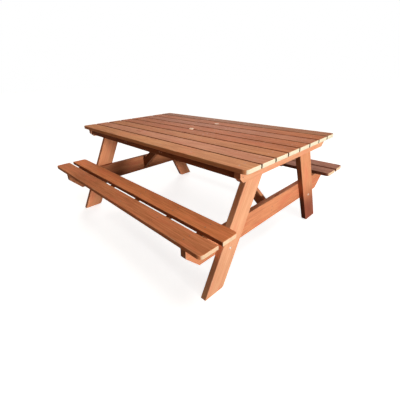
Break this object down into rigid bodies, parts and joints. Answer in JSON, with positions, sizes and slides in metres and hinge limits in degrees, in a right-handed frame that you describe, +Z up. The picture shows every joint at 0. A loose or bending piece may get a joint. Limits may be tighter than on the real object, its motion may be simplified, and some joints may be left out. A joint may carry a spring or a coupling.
{
  "type": "picnic table",
  "caption": "Timber picnic table with a slatted top, a fixed slatted bench on each long side, splayed A-frame legs at each end and diagonal braces under the top.",
  "frame": {"origin": "on the ground, midway between the two ends and the two sides", "axes": "+X along the table towards its right end, +Y across it towards the rear seat, +Z up"},
  "size_m": [1.815, 1.636, 0.745],
  "materials": {
    "top_timber": "stained softwood, matt, weathered",
    "seat_timber": "stained softwood, matt",
    "frame_timber": "stained softwood, matt",
    "bolt_steel": "zinc plated, dulled",
    "screw_steel": "brown coated, dulled",
    "sleeve_plastic": "moulded, matt"
  },
  "bodies": {
    "root": {"bolt_nuts": "bolt_steel", "bolt_washers": "bolt_steel", "brace_foot_screws": "screw_steel", "brace_head_screws": "screw_steel", "brace_left": "frame_timber", "brace_right": "frame_timber", "coach_bolts": "bolt_steel", "crossbar_left": "frame_timber", "crossbar_right": "frame_timber", "edge_rail_front": "frame_timber", "edge_rail_rear": "frame_timber", "end_bearer_left": "frame_timber", "end_bearer_right": "frame_timber", "leg_head_screws": "screw_steel", "leg_left_front": "frame_timber", "leg_left_rear": "frame_timber", "leg_right_front": "frame_timber", "leg_right_rear": "frame_timber", "mid_bearer_left": "frame_timber", "mid_bearer_right": "frame_timber", "mid_bearer_screws": "screw_steel", "parasol_sleeve": "sleeve_plastic", "rail_end_screws": "screw_steel", "seat_board_front_inner": "seat_timber", "seat_board_front_outer": "seat_timber", "seat_board_rear_inner": "seat_timber", "seat_board_rear_outer": "seat_timber", "seat_cleat_front_1": "frame_timber", "seat_cleat_front_2": "frame_timber", "seat_cleat_front_3": "frame_timber", "seat_cleat_front_4": "frame_timber", "seat_cleat_front_5": "frame_timber", "seat_cleat_front_6": "frame_timber", "seat_cleat_rear_1": "frame_timber", "seat_cleat_rear_2": "frame_timber", "seat_cleat_rear_3": "frame_timber", "seat_cleat_rear_4": "frame_timber", "seat_cleat_rear_5": "frame_timber", "seat_cleat_rear_6": "frame_timber", "seat_cleat_screws": "screw_steel", "seat_frame_screws": "screw_steel", "top_board_1": "top_timber", "top_board_2": "top_timber", "top_board_3": "top_timber", "top_board_4": "top_timber", "top_board_5": "top_timber", "top_board_6": "top_timber", "top_board_7": "top_timber", "top_board_8": "top_timber", "top_board_screws": "screw_steel"}
  },
  "joints": []
}
